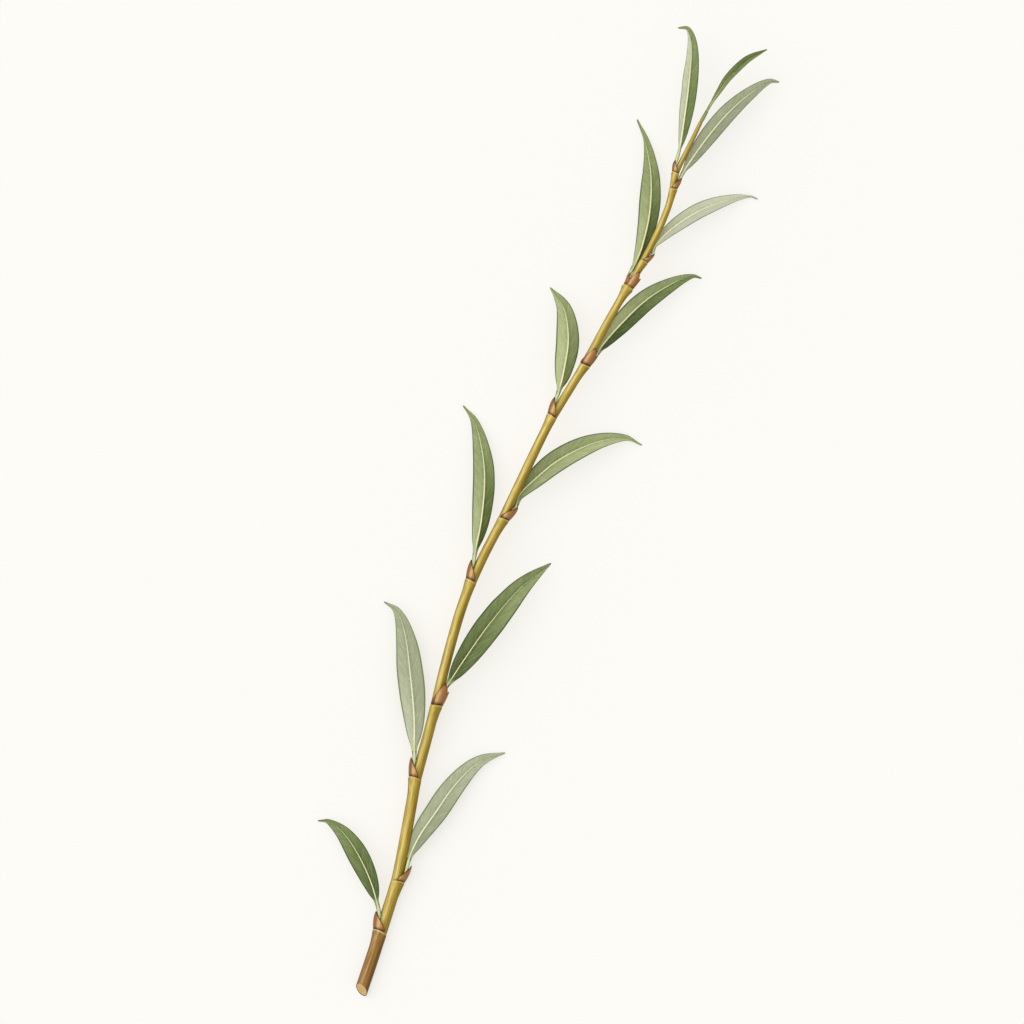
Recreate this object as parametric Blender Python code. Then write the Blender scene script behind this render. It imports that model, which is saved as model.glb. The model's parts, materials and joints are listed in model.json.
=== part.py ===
"""A golden willow twig, cut and laid down: one stem, twelve side leaves, one leaf at the tip, bud scales.

The twig lies along +Y with its cut end at -Y. The surface it rests on is Z = 0, and the origin is the
middle of its outline on that surface. All sizes below are in millimetres.
"""

import math
from collections import namedtuple

import bmesh
import bpy
from mathutils import Vector

MM = 0.001
UP = Vector((0, 0, 1))
LEFT, RIGHT = -1, 1
GAP = 0.3  # between pieces that touch
NEARBY = 0.4  # a route's direction is read this far to each side
SHARP_EDGE = math.radians(50)

# The stem's middle line: place along the twig, place across it, height, and the stem's radius there.
STEM_ROUTE = (
    (-181.6, -71.0, 2.10, 2.38),
    (-170.0, -67.3, 2.10, 2.38),
    (-159.0, -63.8, 2.30, 2.33),
    (-147.6, -59.8, 2.90, 2.28),
    (-140.0, -57.5, 3.30, 2.26),
    (-128.6, -55.2, 4.00, 2.20),
    (-109.6, -51.8, 5.00, 2.15),
    (-101.5, -50.5, 5.40, 2.10),
    (-94.4, -48.6, 5.80, 1.95),
    (-79.2, -44.5, 6.70, 1.90),
    (-52.6, -38.0, 8.00, 1.80),
    (-33.6, -32.0, 8.80, 1.76),
    (-18.4, -25.6, 9.40, 1.70),
    (-3.2, -17.8, 10.10, 1.67),
    (23.4, -5.1, 11.10, 1.62),
    (34.8, 0.8, 11.50, 1.58),
    (53.8, 12.9, 12.20, 1.46),
    (76.6, 25.2, 13.00, 1.36),
    (96.0, 36.1, 13.65, 1.18),
    (114.6, 44.9, 14.30, 1.12),
    (128.6, 49.2, 14.75, 0.98),
    (137.4, 52.5, 15.10, 0.66),
    (148.0, 57.7, 15.50, 0.46),
)
STEM_SIDES = 14
STEM_STEP = 5.5  # between the rings of a plain stretch
RING_MIN = 0.15  # rings closer than this are one
OLD_BARK_TOP = -159.3  # the brown, two-year-old wood ends at the lowest leaf
CUT_ACROSS, CUT_UPWARD = -0.45, 0.70  # slope of the slanting cut across the stem, and from below to above

# Each leaf stands on a cushion: the stem swells under it and ends in a ledge that carries the bud scale.
CUSHION_LENGTH = 7.0
CUSHION_RISE = 0.9
CUSHION_REACH = math.radians(110)
CUSHION_DROP = 0.3
CUSHION_RINGS = (-CUSHION_LENGTH, -4.2, -2.1, -0.8, 0.0, CUSHION_DROP, 1.6)

# A bud scale is a pointed shield bent round the stem, which lifts away from it towards its point.
SCALE_THICK = 0.6
SCALE_FOOT = 0.5  # above the ledge's rim
SCALE_CORNER = 0.15  # height of a scale's two lower corners, as a share of its length
SCALE_ROWS = 4
SCALE_FULLNESS = 0.7  # below 1, the edge bulges on its way up to the point
TWIN_REACH = 0.9  # each point of a two-pointed scale comes down to the foot this far from its middle
ONE_POINT = ((-0.27, 1.0),)
TWO_POINTS = ((-0.55, 0.8), (0.1, 1.0))
Scale = namedtuple("Scale", "name at side length middle half_span lift points")

# A leaf is a round stalk that opens into a blade folded along its midrib.
STALK_ROOT = 3.1  # above the ledge's rim, between scale and stem
STALK_ROOT_RADIUS = 0.33
STALK_NECK = 0.86  # share of the scale's length at which the stalk turns away from the stem
STALK_RADIUS = 0.55
STALK_SPREAD = 5.0  # length over which the root thickens to the stalk
BLADE_HALF_THICK = 0.3
BLADE_OPENING = 3.0  # length over which the stalk flattens into the blade
BLADE_START = 0.016  # share of the blade's length whose width the blade begins with
BLADE_FULLNESS = 0.75  # below 1, the margins bulge between stalk and tip
RIDGE_HALF_WIDTH = 0.6  # the midrib stands out from the underside
RIDGE_HEIGHT = 0.45
RIDGE_SHARE = 0.45  # of half the blade, at most, where it is narrow
RIDGE_FADE = 0.75  # share of its height that the ridge has lost at the tip
STALK_RINGS, BLADE_RINGS = 5, 18
RING_CROWDING = 1.1  # above 1, the blade's rings lie closer towards the stalk
POINTS_ACROSS = 5  # on each face of a ring: margin, foot of the ridge, midrib, foot, margin
TIP_HALF_WIDTH = 0.3
Leaf = namedtuple("Leaf", "name at side root_angle half_width widest lifts tapers underside_up stalk midrib")

# Leaves from the cut end to the tip. `at` is the ledge's place along the twig and `stalk` the length of
# the stalk. `widest` is the share of the blade's length at which it is widest, `lifts` are the angles by
# which its left and right half rise from the level, seen from stalk to tip, and `tapers` say how early each
# half narrows. The midrib's points are across, along and above the surface.
EVEN = (0.5, 0.5)
LEAVES = (
    Leaf("leaf_01", -159.3, LEFT, 40, 4.0, 0.44, (18, 22), EVEN, False, 9.0,
         ((-65.1, -149.0, 4.4), (-67.5, -140.8, 4.7), (-71.6, -131.7, 4.8), (-77.3, -122.9, 4.4),
          (-83.6, -117.8, 2.9), (-87.4, -117.5, 1.4))),
    Leaf("leaf_02", -139.8, RIGHT, 32, 4.5, 0.44, (-14, -12), (0.1, 0.4), True, 9.0,
         ((-52.4, -130.2, 5.0), (-48.8, -122.9, 5.6), (-43.3, -114.9, 5.6), (-35.4, -103.8, 4.8),
          (-26.6, -95.4, 3.0), (-16.7, -91.8, 1.2))),
    Leaf("leaf_03", -100.9, LEFT, 32, 5.2, 0.44, (-10, -12), EVEN, True, 8.5,
         ((-51.0, -89.6, 7.2), (-51.1, -77.3, 7.8), (-52.6, -61.0, 7.3), (-54.5, -46.9, 5.9),
          (-57.6, -37.8, 4.4), (-62.3, -34.4, 3.0))),
    Leaf("leaf_04", -73.2, RIGHT, 36, 5.6, 0.44, (34, 12), EVEN, False, 8.0,
         ((-36.4, -62.8, 8.7), (-31.7, -55.7, 9.2), (-22.4, -42.6, 9.3), (-10.8, -29.1, 8.0),
          (0.8, -19.8, 5.8))),
    Leaf("leaf_05", -25.8, LEFT, 30, 4.5, 0.44, (-6, -28), EVEN, False, 9.0,
         ((-27.8, -15.0, 10.0), (-25.5, -3.0, 9.5), (-24.3, 12.0, 7.8), (-25.3, 23.4, 5.6),
          (-28.2, 34.3, 2.6), (-32.3, 40.1, 0.35))),
    Leaf("leaf_06", -2.5, RIGHT, -15, 4.4, 0.44, (-14, 30), (0.5, 0.6), False, 7.0,
         ((-10.8, 6.4, 8.6), (-6.3, 11.2, 8.0), (4.0, 19.6, 7.2), (17.5, 26.1, 5.3),
          (29.1, 27.9, 2.4), (35.3, 25.3, 0.35))),
    Leaf("leaf_07", 36.7, LEFT, 20, 4.7, 0.44, (-6, -26), (0.5, 0.4), False, 8.0,
         ((4.3, 47.0, 12.5), (6.2, 55.5, 12.3), (7.5, 65.5, 11.3), (5.9, 76.9, 9.4),
          (0.8, 84.9, 7.2))),
    Leaf("leaf_08", 55.3, RIGHT, -20, 3.9, 0.44, (-10, -34), (0.3, 0.5), False, 5.0,
         ((20.2, 62.8, 10.6), (26.0, 69.6, 9.7), (36.7, 80.0, 8.5), (48.1, 87.2, 6.0),
          (54.8, 89.6, 4.0), (58.0, 88.7, 3.0))),
    Leaf("leaf_09", 85.3, LEFT, -15, 4.3, 0.44, (-10, -30), (2.0, 0.5), False, 6.0,
         ((33.0, 94.2, 12.6), (35.7, 101.2, 12.0), (38.4, 113.4, 10.5), (38.9, 127.5, 7.3),
          (36.6, 141.0, 3.0), (33.8, 148.8, 0.35))),
    Leaf("leaf_10", 96.0, RIGHT, -20, 3.1, 0.44, (-14, -34), EVEN, True, 4.0,
         ((40.6, 101.2, 12.4), (47.0, 107.6, 11.2), (57.6, 114.4, 8.8), (69.0, 118.6, 4.8),
          (76.6, 119.7, 1.4), (79.2, 118.8, 0.35))),
    Leaf("leaf_11", 123.1, RIGHT, -20, 3.3, 0.44, (-14, -18), (0.0, 0.5), True, 5.0,
         ((52.4, 130.9, 13.4), (60.4, 142.2, 12.5), (69.0, 152.2, 11.4), (78.0, 159.8, 9.8),
          (84.0, 163.3, 8.3), (87.4, 163.2, 7.6))),
    Leaf("leaf_12", 128.6, LEFT, 20, 3.5, 0.50, (-52, -10), (0.5, 0.0), False, 7.5,
         ((49.6, 136.8, 15.6), (51.0, 145.0, 15.9), (53.3, 162.1, 15.5), (54.3, 176.5, 14.1),
          (52.8, 183.0, 12.9), (49.4, 183.7, 12.0))),
    Leaf("leaf_tip", 148.0, None, 0, 2.2, 0.56, (40, 46), (0.0, 0.5), False, 9.0,
         ((57.9, 148.35, 15.52), (61.3, 154.6, 16.1), (64.6, 159.8, 16.5), (68.4, 164.8, 16.6),
          (75.2, 171.4, 16.0), (82.8, 175.4, 14.6))),
)
SCALES = (
    Scale("bud_scale_01", -159.3, LEFT, 7.2, 42, 75, 1.6, ONE_POINT),
    Scale("bud_scale_02", -139.8, RIGHT, 7.2, 42, 75, 1.6, ONE_POINT),
    Scale("bud_scale_03", -100.9, LEFT, 7.5, 42, 75, 1.6, ONE_POINT),
    Scale("bud_scale_04", -73.2, RIGHT, 8.0, 45, 80, 1.6, TWO_POINTS),
    Scale("bud_scale_05", -25.8, LEFT, 7.2, 42, 75, 1.6, ONE_POINT),
    Scale("bud_scale_06", -2.5, RIGHT, 6.7, 42, 75, 1.6, ONE_POINT),
    Scale("bud_scale_07", 36.7, LEFT, 6.6, 42, 75, 1.6, ONE_POINT),
    Scale("bud_scale_08", 55.3, RIGHT, 6.8, 45, 75, 1.6, TWO_POINTS),
    Scale("bud_scale_09", 85.3, LEFT, 5.4, 15, 47, 1.5, ONE_POINT),
    Scale("bud_scale_09_front", 85.3, RIGHT, 6.8, 42, 62, 0.7, ONE_POINT),
    Scale("bud_scale_10", 96.0, RIGHT, 4.2, 42, 75, 1.3, ONE_POINT),
    Scale("bud_scale_11", 123.1, RIGHT, 4.6, 42, 75, 1.3, ONE_POINT),
    Scale("bud_scale_12", 128.6, LEFT, 4.4, 42, 70, 1.3, ONE_POINT),
)

# Colour, roughness and metallic value of each surface.
SURFACES = {
    "golden_bark": ((0.55, 0.39, 0.08), 0.45, 0.0),
    "old_bark": ((0.30, 0.15, 0.06), 0.65, 0.0),
    "cut_wood": ((0.70, 0.45, 0.16), 0.80, 0.0),
    "leaf_green": ((0.13, 0.21, 0.06), 0.50, 0.0),
    "leaf_underside": ((0.42, 0.49, 0.30), 0.60, 0.0),
    "bud_brown": ((0.42, 0.19, 0.08), 0.45, 0.0),
}


def clear_scene():
    for thing in list(bpy.data.objects):
        bpy.data.objects.remove(thing, do_unlink=True)


def surface(name):
    """The material of this name, made the first time it is asked for."""
    material = bpy.data.materials.get(name)
    if material:
        return material
    colour, roughness, metallic = SURFACES[name]
    material = bpy.data.materials.new(name)
    material.use_nodes = True
    shader = material.node_tree.nodes["Principled BSDF"]
    shader.inputs["Base Color"].default_value = (*colour, 1)
    shader.inputs["Roughness"].default_value = roughness
    shader.inputs["Metallic"].default_value = metallic
    return material


def mix(a, b, share):
    return a + (b - a) * share


def smooth_value(keys, values, key):
    """A smooth curve through (key, value) pairs, read at key; straight beyond the ends."""
    last = len(keys) - 1

    def slope(i):
        before, after = max(i - 1, 0), min(i + 1, last)
        return (values[after] - values[before]) / (keys[after] - keys[before])

    if key <= keys[0]:
        return values[0] + slope(0) * (key - keys[0])
    if key >= keys[last]:
        return values[last] + slope(last) * (key - keys[last])
    i = max(k for k in range(last) if keys[k] <= key)
    span = keys[i + 1] - keys[i]
    t = (key - keys[i]) / span
    return (values[i] * (1 + 2 * t) * (1 - t) ** 2 + slope(i) * span * t * (1 - t) ** 2
            + values[i + 1] * t * t * (3 - 2 * t) - slope(i + 1) * span * t * t * (1 - t))


STEM_KEYS = [row[0] for row in STEM_ROUTE]
STEM_VALUES = [Vector((row[1], row[0], row[2])) for row in STEM_ROUTE]
STEM_RADII = [row[3] for row in STEM_ROUTE]


def stem_frame(y):
    """The stem's middle at y, its direction, the way to its right, the way up from it, and its radius."""
    middle = smooth_value(STEM_KEYS, STEM_VALUES, y)
    ahead = smooth_value(STEM_KEYS, STEM_VALUES, y + NEARBY)
    behind = smooth_value(STEM_KEYS, STEM_VALUES, y - NEARBY)
    along = (ahead - behind).normalized()
    right = along.cross(UP).normalized()
    return middle, along, right, right.cross(along), smooth_value(STEM_KEYS, STEM_RADII, y)


def stem_y(at, distance):
    """The place along the twig that lies this distance past `at`, measured along the stem."""
    return at + distance * stem_frame(at)[1].y


def outward(right, upward, side, angle):
    """The direction away from the stem's middle, at this angle above the level, on this side."""
    return right * side * math.cos(angle) + upward * math.sin(angle)


def cushion_rise(y, direction, right, upward):
    """How far the leaf cushions lift the stem's surface at y, in this direction from its middle."""
    total = 0.0
    for scale in SCALES:
        distance = (y - scale.at) / stem_frame(scale.at)[1].y
        if not -CUSHION_LENGTH < distance < CUSHION_DROP:
            continue
        facing = outward(right, upward, scale.side, math.radians(scale.middle))
        turned = facing.angle(direction) / CUSHION_REACH
        along = (1 + distance / CUSHION_LENGTH) ** 2 if distance <= 0 else 1 - distance / CUSHION_DROP
        total = max(total, CUSHION_RISE * along * max(0.0, 1 - turned * turned))
    return total


def stem_places():
    """Where the stem's rings are: evenly along it, and closer at each cushion."""
    first, last = STEM_KEYS[0], STEM_KEYS[-1]
    steps = round((last - first) / STEM_STEP)
    near = {stem_y(scale.at, d) for scale in SCALES for d in CUSHION_RINGS}
    plain = {first + (last - first) * i / steps for i in range(1, steps)}
    clear = {y for y in plain if all(abs(y - n) > STEM_STEP / 3 for n in near)}
    places = [first]
    for y in sorted(near | clear) + [last]:
        if y - places[-1] > RING_MIN:
            places.append(y)
    return places


def new_object(name, mesh, materials):
    mesh.normal_update()
    data = bpy.data.meshes.new(name)
    mesh.to_mesh(data)
    mesh.free()
    for material in materials:
        data.materials.append(surface(material))
    data.shade_smooth()
    data.set_sharp_from_angle(angle=SHARP_EDGE)
    made = bpy.data.objects.new(name, data)
    bpy.context.scene.collection.objects.link(made)
    return made


def placed(mesh, point):
    return mesh.verts.new(point * MM)


def make_stem():
    """Rings round the middle line, swollen at the cushions, flat where the cut end lies on the surface."""
    mesh = bmesh.new()
    rings = []
    places = stem_places()
    for y in places:
        middle, along, right, upward, radius = stem_frame(y)
        ring = []
        for i in range(STEM_SIDES):
            turn = 2 * math.pi * (i + 0.5) / STEM_SIDES
            direction = right * math.cos(turn) + upward * math.sin(turn)
            point = middle + direction * (radius + cushion_rise(y, direction, right, upward))
            point.z = max(point.z, 0.0)
            if y == places[0]:
                offset = point - middle
                point += along * (CUT_ACROSS * offset.dot(right) + CUT_UPWARD * offset.dot(upward))
            ring.append(placed(mesh, point))
        rings.append(ring)
    for y, (low, high) in zip(places, zip(rings, rings[1:])):
        for i in range(STEM_SIDES):
            j = (i + 1) % STEM_SIDES
            face = mesh.faces.new((low[j], low[i], high[i], high[j]))
            face.material_index = 1 if y < OLD_BARK_TOP - RING_MIN else 0
    cut = mesh.faces.new(rings[0])
    cut.material_index = 2
    mesh.faces.new(rings[-1][::-1])
    new_object("stem", mesh, ("golden_bark", "old_bark", "cut_wood"))


def two_sheets(mesh, upper, lower):
    """Closes two grids of vertices of the same size into one body, both cut into alike triangles."""
    rows, columns = len(upper), len(upper[0])
    for r in range(rows - 1):
        for c in range(columns - 1):
            for sheet, order in ((upper, 1), (lower, -1)):
                a, b = sheet[r][c], sheet[r][c + 1]
                d, e = sheet[r + 1][c], sheet[r + 1][c + 1]
                mesh.faces.new((a, b, e)[::order])
                mesh.faces.new((a, e, d)[::order])
        for c, order in ((0, 1), (columns - 1, -1)):
            a, b = upper[r][c], upper[r + 1][c]
            d, e = lower[r][c], lower[r + 1][c]
            mesh.faces.new((a, b, e)[::order])
            mesh.faces.new((a, e, d)[::order])
    for r, order in ((0, -1), (rows - 1, 1)):
        for c in range(columns - 1):
            a, b = upper[r][c], upper[r][c + 1]
            d, e = lower[r][c], lower[r][c + 1]
            mesh.faces.new((a, b, e)[::order])
            mesh.faces.new((a, e, d)[::order])


def scale_top(points, q):
    """Height of a scale's upper edge at q, from -1 at its outer corner to 1 at the other."""
    best = 0.0
    for place, top in points:
        reach = (1 + place if q < place else 1 - place) if len(points) == 1 else TWIN_REACH
        best = max(best, top * max(0.0, 1 - abs(q - place) / reach) ** SCALE_FULLNESS)
    return SCALE_CORNER + (1 - SCALE_CORNER) * best


def scale_columns(points):
    """Places across a scale, with one at each point and notch."""
    tips = [place for place, _ in points]
    between = [sum(tips) / 2] if len(tips) == 2 else []
    sides = [(-1 + tips[0]) / 2, (1 + 2 * tips[-1]) / 3, (2 + tips[-1]) / 3]
    return sorted([-1, 1, *tips, *between, *sides])


def make_scale(scale):
    mesh = bmesh.new()
    outer, inner = [], []
    for r in range(SCALE_ROWS):
        outer.append([])
        inner.append([])
        for q in scale_columns(scale.points):
            share = r / (SCALE_ROWS - 1) * scale_top(scale.points, q)
            y = stem_y(scale.at, SCALE_FOOT + share * (scale.length - SCALE_FOOT))
            middle, along, right, upward, radius = stem_frame(y)
            angle = math.radians(scale.middle + scale.half_span * q)
            direction = outward(right, upward, scale.side, angle)
            reach = radius + GAP + scale.lift * (1 - (1 - share) ** 2)
            inner[-1].append(placed(mesh, middle + direction * reach))
            outer[-1].append(placed(mesh, middle + direction * (reach + SCALE_THICK)))
    two_sheets(mesh, outer, inner)
    bmesh.ops.recalc_face_normals(mesh, faces=mesh.faces)
    new_object(scale.name, mesh, ("bud_brown",))


def blade_width(share, widest, taper):
    """Half the blade's width at this share of its length, as a share of the greatest half width."""
    skew = math.log(0.5) / math.log(widest)
    return math.sin(math.pi * share ** skew) ** (BLADE_FULLNESS + taper * share)


def leaf_route(leaf):
    """The points that the stalk and midrib pass through. The first two hug the stem, behind the scale."""
    points = [Vector(point) for point in leaf.midrib]
    if leaf.side is None:
        return points
    scale = next(scale for scale in SCALES if scale.at == leaf.at and scale.side == leaf.side)
    hugging = []
    for distance, thick in ((STALK_ROOT, STALK_ROOT_RADIUS), (STALK_NECK * scale.length, STALK_RADIUS)):
        middle, along, right, upward, radius = stem_frame(stem_y(leaf.at, distance))
        direction = outward(right, upward, leaf.side, math.radians(leaf.root_angle))
        hugging.append(middle + direction * (radius + GAP + thick))
    return hugging + points


def leaf_section(leaf, travelled, whole):
    """Offsets to the right and upwards of the upper and lower points of a ring, this far along the leaf."""
    root = STALK_ROOT_RADIUS if leaf.side else STALK_RADIUS
    stalk = root + (STALK_RADIUS - root) * min(1.0, travelled / STALK_SPREAD)
    share = min(1.0, max(BLADE_START, (travelled - leaf.stalk) / (whole - leaf.stalk)))
    flat = min(1.0, max(0.0, (travelled - leaf.stalk + BLADE_OPENING) / BLADE_OPENING))
    left, right = (max(TIP_HALF_WIDTH, leaf.half_width * blade_width(share, leaf.widest, taper))
                   for taper in leaf.tapers)
    foot = min(RIDGE_HALF_WIDTH, left * RIDGE_SHARE, right * RIDGE_SHARE)
    ridge = RIDGE_HEIGHT * (1 - RIDGE_FADE * share)
    upper, lower = [], []
    for place, across in enumerate((-left, -foot, 0.0, foot, right)):
        lift = math.radians(leaf.lifts[0] if across < 0 else leaf.lifts[1])
        out, rise = across * math.cos(lift), abs(across) * math.sin(lift)
        raised = ridge if across == 0 else 0.0
        above = BLADE_HALF_THICK + (raised if leaf.underside_up else 0.0)
        below = BLADE_HALF_THICK + (0.0 if leaf.underside_up else raised)
        turn = math.pi * (1 - (place + 0.5) / POINTS_ACROSS)  # round the stalk, from its left to its right
        round_out, round_up = stalk * math.cos(turn), stalk * math.sin(turn)
        upper.append((mix(round_out, out, flat), mix(round_up, rise + above, flat)))
        lower.append((mix(round_out, out, flat), mix(-round_up, rise - below, flat)))
    return upper, lower


def make_leaf(leaf):
    """Rings swept along the stalk and midrib, kept above the surface."""
    points = leaf_route(leaf)
    keys = [0.0]
    for a, b in zip(points, points[1:]):
        keys.append(keys[-1] + (b - a).length)
    whole = keys[-1]
    travel = [leaf.stalk * i / STALK_RINGS for i in range(STALK_RINGS)]
    for i in range(BLADE_RINGS):
        travel.append(mix(leaf.stalk, whole, (i / (BLADE_RINGS - 1)) ** RING_CROWDING))
    mesh = bmesh.new()
    upper, lower = [], []
    for travelled in travel:
        middle = smooth_value(keys, points, travelled)
        ahead = smooth_value(keys, points, travelled + NEARBY)
        behind = smooth_value(keys, points, travelled - NEARBY)
        along = (ahead - behind).normalized()
        right = along.cross(UP).normalized()
        upward = right.cross(along)
        above, below = leaf_section(leaf, travelled, whole)
        upper.append([placed(mesh, middle + right * x + upward * z) for x, z in above])
        lower.append([placed(mesh, middle + right * x + upward * z) for x, z in below])
    for vertex in mesh.verts:
        vertex.co.z = max(vertex.co.z, 0.0)
    two_sheets(mesh, upper, lower)
    bmesh.ops.recalc_face_normals(mesh, faces=mesh.faces)
    new_object(leaf.name, mesh, ("leaf_underside" if leaf.underside_up else "leaf_green",))


def main():
    clear_scene()
    make_stem()
    for scale in SCALES:
        make_scale(scale)
    for leaf in LEAVES:
        make_leaf(leaf)


main()
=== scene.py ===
# %% [markdown]
# # A golden willow twig
# The twig is a young shoot, cut at a slant and laid on paper. It is made up of a stem, thirteen leaves
# and thirteen brown bud scales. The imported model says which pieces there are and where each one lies, so
# it is loaded first, and each piece below is a finer version of one of its nodes.

# %% Load the model and note its size
import json
import math
from collections import namedtuple

import bmesh
import bpy
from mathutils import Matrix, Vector, noise

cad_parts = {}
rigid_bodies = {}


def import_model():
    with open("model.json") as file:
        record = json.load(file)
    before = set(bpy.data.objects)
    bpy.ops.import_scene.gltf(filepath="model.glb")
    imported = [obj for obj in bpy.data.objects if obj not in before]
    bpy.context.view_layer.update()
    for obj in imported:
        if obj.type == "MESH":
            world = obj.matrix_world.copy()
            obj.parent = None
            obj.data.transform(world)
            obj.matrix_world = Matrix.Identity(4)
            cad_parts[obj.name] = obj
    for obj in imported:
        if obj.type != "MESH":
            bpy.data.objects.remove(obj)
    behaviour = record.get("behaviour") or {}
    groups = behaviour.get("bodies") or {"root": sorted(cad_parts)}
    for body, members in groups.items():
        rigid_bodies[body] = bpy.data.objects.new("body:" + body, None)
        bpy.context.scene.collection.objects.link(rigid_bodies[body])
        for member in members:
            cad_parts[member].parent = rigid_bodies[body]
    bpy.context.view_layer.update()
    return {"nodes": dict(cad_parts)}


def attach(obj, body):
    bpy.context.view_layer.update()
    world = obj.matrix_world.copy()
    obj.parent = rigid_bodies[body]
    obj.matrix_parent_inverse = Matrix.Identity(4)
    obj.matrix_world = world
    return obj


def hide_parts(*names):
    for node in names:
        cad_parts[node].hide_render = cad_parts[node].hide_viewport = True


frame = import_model()
print("nodes:", len(frame["nodes"]))

# %% [markdown]
# ## Camera, paper and light
# The photograph looks straight down at the twig with no perspective, so the camera is orthographic: its
# width in metres fixes the scale, and nothing grows as it rises from the paper. The light is one pale
# sky all round and a lamp at the upper left. A sky alone would leave the round stem flat, and a small
# lamp alone would throw hard shadows, so this lamp looks 90 degrees wide from the twig. The paper lies on
# a light table and glows, which keeps the shadows on it faint.

# %% Camera
PIXEL = 0.38  # millimetres of paper under one pixel of the photograph
IMAGE = 1024
MIDDLE = Vector((-13.87, -0.19, 0))  # the point of the paper under the middle of the photograph
MM = 0.001
CAMERA_HEIGHT = 0.8  # in metres; with no perspective, any height above the twig gives this picture

camera_data = bpy.data.cameras.new("camera")
camera_data.type = "ORTHO"
camera_data.ortho_scale = PIXEL * IMAGE * MM
camera = bpy.data.objects.new("camera", camera_data)
camera.location = MIDDLE * MM + Vector((0, 0, CAMERA_HEIGHT))
bpy.context.scene.collection.objects.link(camera)
bpy.context.scene.camera = camera
bpy.context.scene.view_settings.view_transform = "Standard"


# %% Small helpers for colours and nodes
def paint(red, green, blue):
    """A colour from its usual 0 to 255 values, as Blender's sockets want it."""
    def linear(value):
        value /= 255
        return value / 12.92 if value <= 0.04045 else ((value + 0.055) / 1.055) ** 2.4
    return linear(red), linear(green), linear(blue), 1.0


def add(tree, kind, *inputs, **settings):
    """Adds a node. A socket among its inputs is linked, a value is typed in, and None is left alone."""
    made = tree.nodes.new("ShaderNode" + kind)
    for name, value in settings.items():
        setattr(made, name, value)
    for socket, value in zip(made.inputs, inputs):
        if isinstance(value, bpy.types.NodeSocket):
            tree.links.new(value, socket)
        elif value is not None:
            socket.default_value = value
    return made


def reckon(tree, operation, *inputs):
    """The result of a Math node."""
    return add(tree, "Math", *inputs, operation=operation).outputs[0]


def ramp(tree, value, *stops):
    """A Color Ramp through stops of place, red, green and blue."""
    made = add(tree, "ValToRGB", value)
    elements = made.color_ramp.elements
    while len(elements) < len(stops):
        elements.new(1.0)
    for element, (place, *colour) in zip(elements, stops):
        element.position = place
        element.color = paint(*colour)
    return made.outputs[0]


def blend(tree, share, first, second, how="MIX"):
    return add(tree, "MixRGB", share, first, second, blend_type=how).outputs[0]


def attribute(tree, name):
    """The vector that a piece's vertices carry under this name."""
    return add(tree, "Attribute", attribute_name=name).outputs["Vector"]


def split(tree, vector):
    return add(tree, "SeparateXYZ", vector).outputs


def drawn_out(tree, vector, factors):
    """The vector times three factors. A small factor draws a texture out along that axis."""
    return add(tree, "VectorMath", vector, factors, operation="MULTIPLY").outputs[0]


def off_axis(tree, vector):
    """A point's distance from the Y axis, which is a straight piece's middle line."""
    x, _, z = split(tree, vector)
    flat = add(tree, "CombineXYZ", x, 0.0, z).outputs[0]
    return add(tree, "VectorMath", flat, operation="LENGTH").outputs["Value"]


def noise_at(tree, vector, scale, detail, roughness=0.5):
    return add(tree, "TexNoise", vector, None, scale, detail, roughness).outputs[0]


def fade(tree, value, start, end, first, last):
    """Goes from first to last while the value goes from start to end."""
    return add(tree, "MapRange", value, start, end, first, last).outputs[0]


def dress(tree, shader, colour, height, strength, depth):
    """Gives the shader its colour, and a bump of this depth in metres that follows the height."""
    tree.links.new(colour, shader.inputs["Base Color"])
    bump = add(tree, "Bump", strength, depth)
    tree.links.new(height, bump.inputs["Height"])
    tree.links.new(bump.outputs[0], shader.inputs["Normal"])


def new_material(name, roughness, specular=0.5):
    """A new material, its node tree and its shader."""
    material = bpy.data.materials.new(name)
    material.use_nodes = True
    shader = material.node_tree.nodes["Principled BSDF"]
    shader.inputs["Roughness"].default_value = roughness
    shader.inputs["Specular IOR Level"].default_value = specular
    return material, material.node_tree, shader


# %% Paper and light
SKY, LAMP = 0.70, 0.30  # their shares of the light that falls on level paper
LAMP_FROM = Vector((-0.55, 0.45, 0.9))
LAMP_ANGLE = 90  # how wide the lamp looks from the twig, in degrees
PAPER = paint(254, 252, 247)
GLOW = 0.65  # the light table gives this share of the paper's brightness
PAPER_SIZE = 6
PAPER_DEPTH = 0.00005  # a little below the twig's lowest points, so that no two faces coincide

bpy.ops.mesh.primitive_plane_add(size=PAPER_SIZE, location=(0, 0, -PAPER_DEPTH))
paper = bpy.context.object
paper.name = "paper"
paper_material, _, shader = new_material("paper", 1.0, specular=0.0)
shader.inputs["Base Color"].default_value = [channel * (1 - GLOW) for channel in PAPER[:3]] + [1]
shader.inputs["Emission Color"].default_value = PAPER
shader.inputs["Emission Strength"].default_value = GLOW
paper.data.materials.append(paper_material)

world = bpy.data.worlds.new("sky")
bpy.context.scene.world = world
world.use_nodes = True
background = world.node_tree.nodes["Background"]
background.inputs["Color"].default_value = (1, 1, 1, 1)
background.inputs["Strength"].default_value = SKY

lamp_data = bpy.data.lights.new("lamp", "SUN")
lamp_data.energy = LAMP * math.pi / LAMP_FROM.normalized().z
lamp_data.angle = math.radians(LAMP_ANGLE)
lamp = bpy.data.objects.new("lamp", lamp_data)
lamp.rotation_euler = LAMP_FROM.to_track_quat("Z", "Y").to_euler()
bpy.context.scene.collection.objects.link(lamp)

# %% [markdown]
# ## Working by hand, in millimetres
# Every piece is modelled straight and a thousand times too large, so that its numbers are plain
# millimetres. It is then bent along a guide curve with the Curve modifier and shrunk to metres. Bending
# last is how a maker would do it too: a straight rod is easy to shape, a crooked one isn't.


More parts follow.
